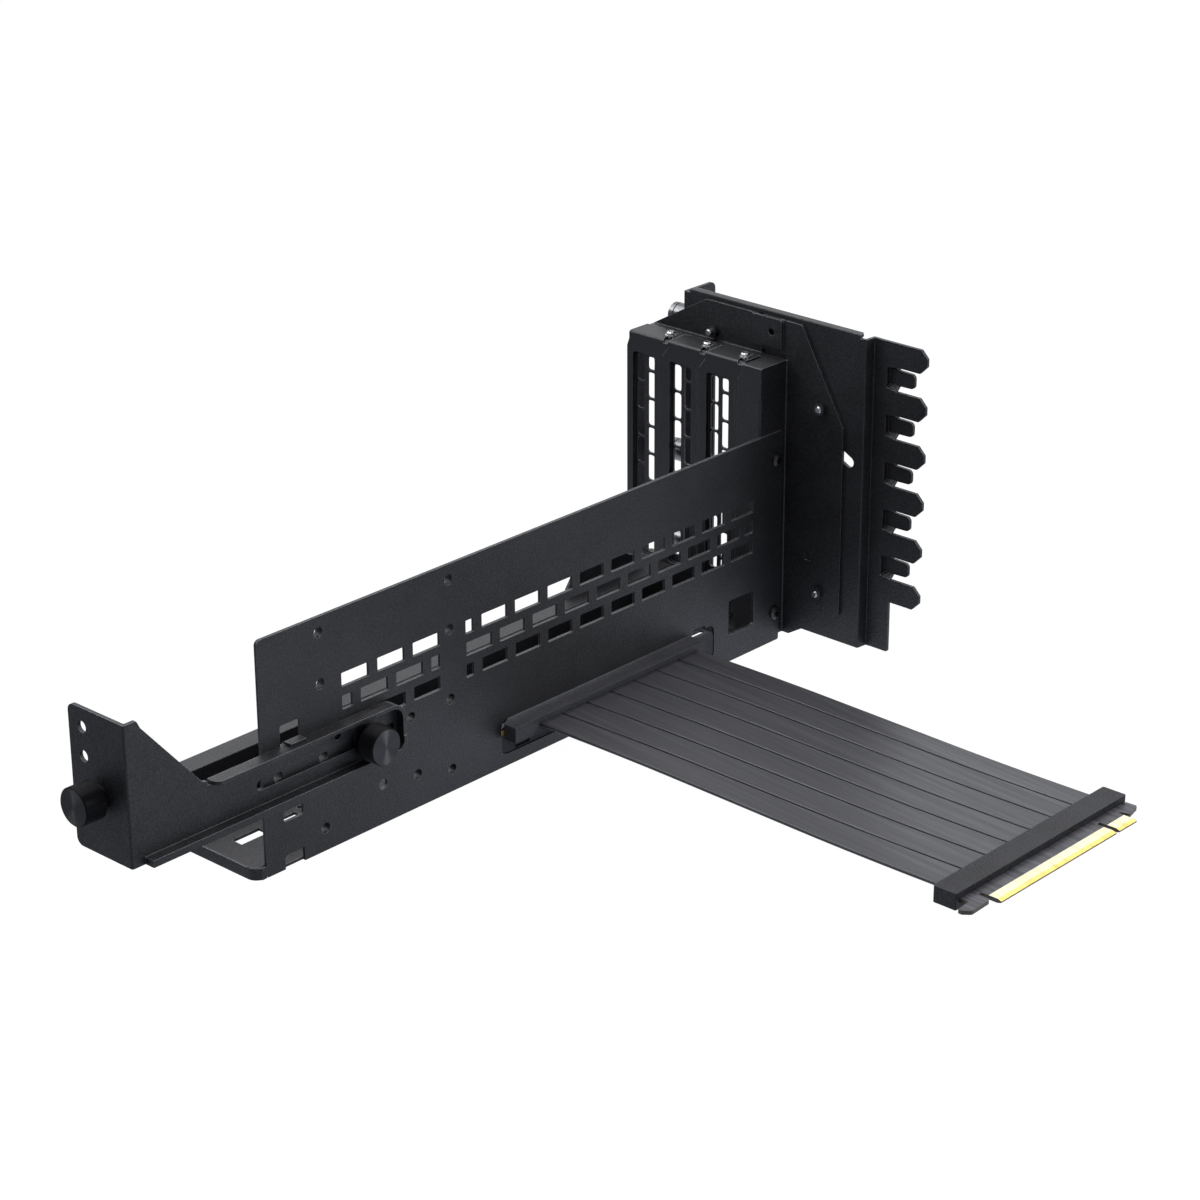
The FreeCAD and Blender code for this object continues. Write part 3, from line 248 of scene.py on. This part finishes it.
def board_material():
    """Dark solder mask over fine traces, with the bare laminate on the cut edges."""
    mat, nt, bsdf, co = new_material("solder_mask")
    fine = noise(nt, co, 1.0, 3.0, 0.7, (1500.0, 60.0, 100.0))
    wide = noise(nt, co, 1.0, 2.0, 0.6, (330.0, 30.0, 60.0))
    traces = math_node(nt, "ADD", math_node(nt, "MULTIPLY", fine, 0.6), math_node(nt, "MULTIPLY", wide, 0.4))
    top = ramp(nt, traces, [(0.36, (0.013, 0.013, 0.016)), (0.5, (0.034, 0.034, 0.040)), (0.64, (0.072, 0.072, 0.083))])
    geo = nt.nodes.new("ShaderNodeNewGeometry")
    sep = nt.nodes.new("ShaderNodeSeparateXYZ")
    nt.links.new(geo.outputs["True Normal"], sep.inputs[0])
    flat = remap(nt, math_node(nt, "ABSOLUTE", sep.outputs["Z"], 0.0), 0.4, 0.6, 0.0, 1.0)
    mx = nt.nodes.new("ShaderNodeMix")
    mx.data_type = "RGBA"
    nt.links.new(flat, mx.inputs["Factor"])
    mx.inputs["A"].default_value = (0.065, 0.055, 0.042, 1.0)
    nt.links.new(top, mx.inputs["B"])
    nt.links.new(mx.outputs["Result"], bsdf.inputs["Base Color"])
    nt.links.new(remap(nt, traces, 0.3, 0.7, 0.42, 0.25), bsdf.inputs["Roughness"])
    bsdf.inputs["Specular IOR Level"].default_value = 0.35
    bump(nt, bsdf, traces, 0.35, 0.00004)
    return mat


MAT_BOARD = board_material()


def gold_material(name, light, dark, metallic):
    """Plated contacts side by side at 1 mm pitch, with faint lines between them."""
    mat, nt, bsdf, co = new_material(name)
    sep = nt.nodes.new("ShaderNodeSeparateXYZ")
    nt.links.new(co, sep.inputs[0])
    line = math_node(nt, "PINGPONG", sep.outputs["X"], 0.0005)
    gap = remap(nt, line, 0.0, 0.00012, 1.0, 0.0)
    w = noise(nt, co, 1.0, 2.0, 0.5, (420.0, 90.0, 90.0))
    v = math_node(nt, "SUBTRACT", w, math_node(nt, "MULTIPLY", gap, 0.3))
    nt.links.new(ramp(nt, v, [(0.1, dark), (0.55, light)]), bsdf.inputs["Base Color"])
    nt.links.new(remap(nt, w, 0.3, 0.7, 0.34, 0.46), bsdf.inputs["Roughness"])
    bsdf.inputs["Metallic"].default_value = metallic
    return mat


MAT_GOLD = gold_material("contact_gold", (0.66, 0.63, 0.45), (0.52, 0.45, 0.26), 0.2)
MAT_GOLD_EDGE = gold_material("contact_gold_edge", (0.88, 0.68, 0.20), (0.66, 0.48, 0.12), 0.35)


def knob_material(name, axis):
    """Black anodised aluminium; the face is turned, so its gloss runs around the axis."""
    mat, nt, bsdf, co = new_material(name)
    g = noise(nt, co, 1500.0, 3.0, 0.6)
    geo = nt.nodes.new("ShaderNodeNewGeometry")
    sep = nt.nodes.new("ShaderNodeSeparateXYZ")
    nt.links.new(geo.outputs["True Normal"], sep.inputs[0])
    # painted shade: the side wall gets a far darker base colour than the turned face, in place of its reflections
    face_vs_shaded_side = remap(nt, math_node(nt, "ABSOLUTE", sep.outputs[axis], 0.0), 0.85, 0.95, 0.0, 1.0)
    mx = nt.nodes.new("ShaderNodeMix")
    mx.data_type = "RGBA"
    nt.links.new(face_vs_shaded_side, mx.inputs["Factor"])
    nt.links.new(ramp(nt, g, [(0.3, (0.013, 0.013, 0.014)), (0.7, (0.019, 0.019, 0.020))]), mx.inputs["A"])
    nt.links.new(ramp(nt, g, [(0.3, (0.062, 0.062, 0.065)), (0.7, (0.086, 0.086, 0.090))]), mx.inputs["B"])
    nt.links.new(mx.outputs["Result"], bsdf.inputs["Base Color"])
    nt.links.new(remap(nt, g, 0.3, 0.7, 0.54, 0.60), bsdf.inputs["Roughness"])
    bsdf.inputs["Metallic"].default_value = 1.0
    bsdf.inputs["Anisotropic"].default_value = 0.9
    bsdf.inputs["Anisotropic Rotation"].default_value = 0.25
    tan = nt.nodes.new("ShaderNodeTangent")
    tan.direction_type = "RADIAL"
    tan.axis = axis
    nt.links.new(tan.outputs["Tangent"], bsdf.inputs["Tangent"])
    return mat


MAT_KNOB_Y = knob_material("black_anodised_y", "Y")
MAT_KNOB_X = knob_material("black_anodised_x", "X")


# -------------------------------------------------------------- helper code
def body_of_node(node):
    for body, members in frame["record"]["behaviour"]["bodies"].items():
        if node in members:
            return body
    return "root"


def add_object(name, mesh, mat, body):
    o = bpy.data.objects.new(name, mesh)
    scene.collection.objects.link(o)
    if mat is not None:
        o.data.materials.clear()
        o.data.materials.append(mat)
    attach(o, body)
    return o


# ------------------------------------------------------------------- ribbon
STRIP_T = 1.4
STRIP_SOCKET_X = [173.3, 186.0, 199.9, 213.6, 227.3, 240.6, 254.1, 267.0]
STRIP_PLUG_X = [189.9, 205.6, 219.8, 233.3, 246.9, 260.6, 274.2, 286.0]
STRIP_Z = [(-7.1, 16.0), (-42.0, 14.5), (-98.0, 10.1), (-154.0, 5.6), (-188.6, 4.0)]
PLUG_D = (14.33, 9.8, -8.9)


def spline_points(name, points):
    """Points read from the route's own NURBS line."""
    cu = bpy.data.curves.new(name, "CURVE")
    cu.dimensions = "3D"
    cu.resolution_u = 24
    sp = cu.splines.new("NURBS")
    sp.points.add(len(points) - 1)
    for p, q in zip(sp.points, points):
        p.co = (*q, 1.0)
    sp.order_u = 3
    sp.use_endpoint_u = True
    ob = bpy.data.objects.new(name, cu)
    me = bpy.data.meshes.new_from_object(ob)
    out = [v.co.copy() for v in me.vertices]
    bpy.data.objects.remove(ob)
    bpy.data.curves.remove(cu)
    bpy.data.meshes.remove(me)
    return out


def strip_section(width, n_top=26):
    """Flat section: rounded edges, faint ribs over the conductors on both faces."""
    h = STRIP_T / 2000
    w = width / 2
    r = 0.00055
    pts = []
    for k in range(7):
        a = math.radians(-90 + 90 * k / 6)
        pts.append((w - r + r * math.cos(a), -h + r + r * math.sin(a)))
    for k in range(7):
        a = math.radians(90 * k / 6)
        pts.append((w - r + r * math.cos(a), h - r + r * math.sin(a)))
    top = []
    for k in range(1, n_top):
        u = w - r - (2 * (w - r)) * k / n_top
        top.append((u, h - 0.00004 - 0.00003 * math.cos(2 * math.pi * k / 2.0)))
    pts += top
    for k in range(7):
        a = math.radians(90 + 90 * k / 6)
        pts.append((-w + r + r * math.cos(a), h - r + r * math.sin(a)))
    for k in range(7):
        a = math.radians(180 + 90 * k / 6)
        pts.append((-w + r + r * math.cos(a), -h + r + r * math.sin(a)))
    pts += [(-u, -v) for u, v in top]
    return pts


def make_strip(i):
    ys0, ys1 = STRIP_Z[0][0], STRIP_Z[-1][0]
    route = []
    for y, z in STRIP_Z:
        f = (y - ys0) / (ys1 - ys0)
        xa = STRIP_SOCKET_X[i] + (STRIP_PLUG_X[i] - STRIP_SOCKET_X[i]) * f
        xb = STRIP_SOCKET_X[i + 1] + (STRIP_PLUG_X[i + 1] - STRIP_SOCKET_X[i + 1]) * f
        route.append(P((xa + xb) / 2, y, z))
    line = spline_points("route", route)
    n = len(line)
    bm = bmesh.new()
    rings = []
    for k, c in enumerate(line):
        f = k / (n - 1)
        wid = (STRIP_SOCKET_X[i + 1] - STRIP_SOCKET_X[i]) * (1 - f) + (STRIP_PLUG_X[i + 1] - STRIP_PLUG_X[i]) * f - 0.62
        d = (line[min(k + 1, n - 1)] - line[max(k - 1, 0)]).normalized()
        side = Vector((1, 0, 0))
        upv = side.cross(d).normalized()
        if upv.z < 0:
            upv = -upv
        if k in (0, n - 1):
            upv = Vector((0, 0, 1))
        rings.append([bm.verts.new(c + side * u + upv * v) for u, v in strip_section(wid / 1000)])
    m_ = len(rings[0])
    for a, b in zip(rings, rings[1:]):
        for j in range(m_):
            bm.faces.new((a[j], a[(j + 1) % m_], b[(j + 1) % m_], b[j]))
    bm.faces.new(rings[0][::-1])
    bm.faces.new(rings[-1])
    bmesh.ops.recalc_face_normals(bm, faces=bm.faces)
    mesh = bpy.data.meshes.new("ribbon_strip_%d" % (i + 1))
    bm.to_mesh(mesh)
    bm.free()
    mesh.polygons.foreach_set("use_smooth", [len(p.vertices) == 4 for p in mesh.polygons])
    o = add_object("ribbon_strip_%d" % (i + 1), mesh, MAT_RIBBON, "root")
    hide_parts("cable_strip_%d" % (i + 1))
    length = sum((b - a).length for a, b in zip(line, line[1:]))
    return o, line, length


strips = [make_strip(i) for i in range(7)]



def make_groove_shade(i):
    """Near-black sheet in the groove between two strips, below their upper faces: painted shade for the groove."""
    a_line, b_line = strips[i][1], strips[i + 1][1]
    n = len(a_line)
    vs, fs = [], []
    for k in range(n):
        f = k / (n - 1)
        x = STRIP_SOCKET_X[i + 1] * (1 - f) + STRIP_PLUG_X[i + 1] * f
        c = (a_line[k] + b_line[k]) / 2
        for dx, dz in ((-0.00034, 0.00012), (0.00034, 0.00012), (0.00034, -0.0004), (-0.00034, -0.0004)):
            vs.append(((x - OX) / 1000 + dx, c.y, c.z + dz))
    for k in range(n - 1):
        for j in range(4):
            fs.append((4 * k + j, 4 * k + (j + 1) % 4, 4 * k + 4 + (j + 1) % 4, 4 * k + 4 + j))
    fs += [(3, 2, 1, 0), (4 * n - 4, 4 * n - 3, 4 * n - 2, 4 * n - 1)]
    me = bpy.data.meshes.new("ribbon_seam_%d" % (i + 1))
    me.from_pydata(vs, [], fs)
    me.update()
    o = add_object("ribbon_seam_%d" % (i + 1), me, MAT_GROOVE_SHADE, "root")
    return o


groove_shades = [make_groove_shade(i) for i in range(6)]

# --------------------------------------------------- coated and moulded nodes
FINISH = {
    "gpu_plate": MAT_POWDER, "base_tray": MAT_POWDER, "slot_cage": MAT_POWDER, "comb_plate": MAT_POWDER,
    "support_arm": MAT_POWDER, "cover_rail": MAT_POWDER, "slot_cover_1": MAT_COVER, "slot_cover_2": MAT_COVER,
    "slot_cover_3": MAT_COVER, "socket_cover": MAT_PLASTIC, "plug_housing": MAT_PLUG, "plug_board": MAT_BOARD,
    "socket_front": MAT_PLASTIC, "slot_connector": MAT_SLOT, "socket_board": MAT_BOARD, "board_standoffs": MAT_BRASS,
    "board_screws": MAT_STEEL, "cover_screws": MAT_STEEL, "plate_screws": MAT_BLACK_SCREW, "clamp_washers": MAT_NUT,
    "clamp_screws": MAT_STUD, "clinch_nuts": MAT_NUT, "rear_thumb_screw_1": MAT_HEAD, "rear_thumb_screw_2": MAT_HEAD,
    "rear_thumb_screw_3": MAT_HEAD, "arm_knob": MAT_KNOB_Y, "arm_end_knob": MAT_KNOB_X, "arm_washer": MAT_NUT, "arm_nut": MAT_NUT,
}
for n, mat in FINISH.items():
    o = nodes[n]
    o.data.materials.clear()
    o.data.materials.append(mat)

# ------------------------------------------------------------ plated contacts
def solid(name, verts, faces, mat, body="root"):
    me = bpy.data.meshes.new(name)
    me.from_pydata(verts, [], faces)
    me.update()
    return add_object(name, me, mat, body)


def contact_band(name, x0, x1):
    """Thin plating on the board's upper face and down its bevelled edge."""
    y0, y1, y2, z0, z1 = -214.8, -218.7, -220.4, 12.92, 12.40
    t = 0.05
    prof = [(y0, z0), (y0, z0 + t), (y1, z0 + t), (y2, z1 + t), (y2, z1), (y1, z0)]
    vs = []
    for x in (x0, x1):
        vs += [P(x + PLUG_D[0], y + PLUG_D[1], z + PLUG_D[2]) for y, z in prof]
    n = len(prof)
    fs = [(k, (k + 1) % n, n + (k + 1) % n, n + k) for k in range(n)] + [tuple(range(n))[::-1], tuple(range(n, 2 * n))]
    o = solid(name, vs, fs, MAT_GOLD)
    o.data.materials.append(MAT_GOLD_EDGE)
    o.data.polygons[2].material_index = 1
    o.data.polygons[3].material_index = 1
    return o


contact_band("contacts_long", 182.15, 253.35)
contact_band("contacts_short", 255.55, 266.45)


def block(name, a, b, mat):
    (x0, y0, z0), (x1, y1, z1) = a, b
    v = [P(x, y, z) for z in (z0, z1) for y in (y0, y1) for x in (x0, x1)]
    return solid(name, v, [(0, 2, 3, 1), (4, 5, 7, 6), (0, 1, 5, 4), (2, 6, 7, 3), (0, 4, 6, 2), (1, 3, 7, 5)], mat)


pad = block("socket_pad", (159.7, -0.12, 13.7), (161.9, 0.0, 15.5), MAT_GOLD_EDGE)

# -------------------------------------------------------------------- stage
fm = bpy.data.meshes.new("floor")
S = 4.0
fm.from_pydata([(-S, -S, -0.00005), (S, -S, -0.00005), (S, S, -0.00005), (-S, S, -0.00005)], [], [(0, 1, 2, 3)])
floor = bpy.data.objects.new("floor", fm)
scene.collection.objects.link(floor)
mat, nt, bsdf, co = new_material("paper_floor")
bsdf.inputs["Base Color"].default_value = (0.02, 0.02, 0.02, 1.0)
bsdf.inputs["Roughness"].default_value = 0.95
bsdf.inputs["Specular IOR Level"].default_value = 0.0
nt.links.new(ramp(nt, noise(nt, co, 3.0, 2.0), [(0.3, 0.985), (0.7, 1.0)]), bsdf.inputs["Emission Color"])
bsdf.inputs["Emission Strength"].default_value = 1.0
fm.materials.append(mat)
floor.visible_diffuse = False
floor.visible_glossy = False

# what the coat reflects from below: bright paper to the front right, dimmer to the rear left
bm_ = fm.copy()
bm_.name = "bounce"
bounce = bpy.data.objects.new("bounce", bm_)
scene.collection.objects.link(bounce)
bounce.location = (0.0, 0.0, -0.0001)
mat, nt, bsdf, co = new_material("bounce_paper")
bsdf.inputs["Base Color"].default_value = (0.02, 0.02, 0.02, 1.0)
bsdf.inputs["Roughness"].default_value = 0.95
bsdf.inputs["Specular IOR Level"].default_value = 0.0
sp_ = nt.nodes.new("ShaderNodeSeparateXYZ")
nt.links.new(co, sp_.inputs[0])
diag = math_node(nt, "MULTIPLY", math_node(nt, "SUBTRACT", sp_.outputs["X"], sp_.outputs["Y"]), 0.7071)
nt.links.new(ramp(nt, remap(nt, diag, -0.30, 0.30, 0.0, 1.0), [(a_, (0.93 * c_, 0.98 * c_, 1.12 * c_)) for a_, c_ in ((0.0, 0.28), (0.30, 0.38), (0.58, 0.84), (0.78, 0.80), (1.0, 0.56))]), bsdf.inputs["Emission Color"])
bsdf.inputs["Emission Strength"].default_value = 1.1
bm_.materials.clear()
bm_.materials.append(mat)
bounce.visible_camera = False
bounce.visible_diffuse = False

world = bpy.data.worlds.new("studio")
scene.world = world
world.use_nodes = True
wt = world.node_tree
wc = wt.nodes.new("ShaderNodeTexCoord")
ws = wt.nodes.new("ShaderNodeSeparateXYZ")
wt.links.new(wc.outputs["Generated"], ws.inputs[0])
wt.links.new(ramp(wt, remap(wt, ws.outputs["Z"], -1.0, 1.0, 0.0, 1.0), [(a_, (0.96 * c_, 0.99 * c_, 1.06 * c_)) for a_, c_ in ((0.0, 0.05), (0.47, 0.10), (0.60, 0.46), (1.0, 0.60))]), wt.nodes["Background"].inputs["Color"])
wt.nodes["Background"].inputs["Strength"].default_value = 1.0


def area(name, loc, target, size, power, size_y=None):
    ld = bpy.data.lights.new(name, "AREA")
    ld.energy = power
    ld.size = size
    if size_y:
        ld.shape = "RECTANGLE"
        ld.size_y = size_y
    lo = bpy.data.objects.new(name, ld)
    scene.collection.objects.link(lo)
    lo.location = loc
    lo.rotation_mode = "QUATERNION"
    lo.rotation_quaternion = (Vector(target) - Vector(loc)).to_track_quat("-Z", "Y")
    return lo


area("top", (0.1, 0.3, 1.6), (0.0, 0.0, 0.0), 1.8, 36.0)
area("behind", (1.36, 1.47, 0.86), (0.0, 0.0, 0.05), 2.6, 6.0, 1.6)
area("right", (0.94, 0.30, 0.80), (0.05, -0.15, 0.0), 0.5, 0.6)
area("right_high", (1.36, -0.84, 1.45), (0.0, 0.0, 0.05), 0.7, 8.0)
area("front_right", (0.67, -0.88, 0.40), (-0.07, -0.015, 0.04), 0.4, 4.0)
area("left_high", (-0.84, 1.47, 1.34), (0.0, 0.0, 0.05), 0.7, 9.0)
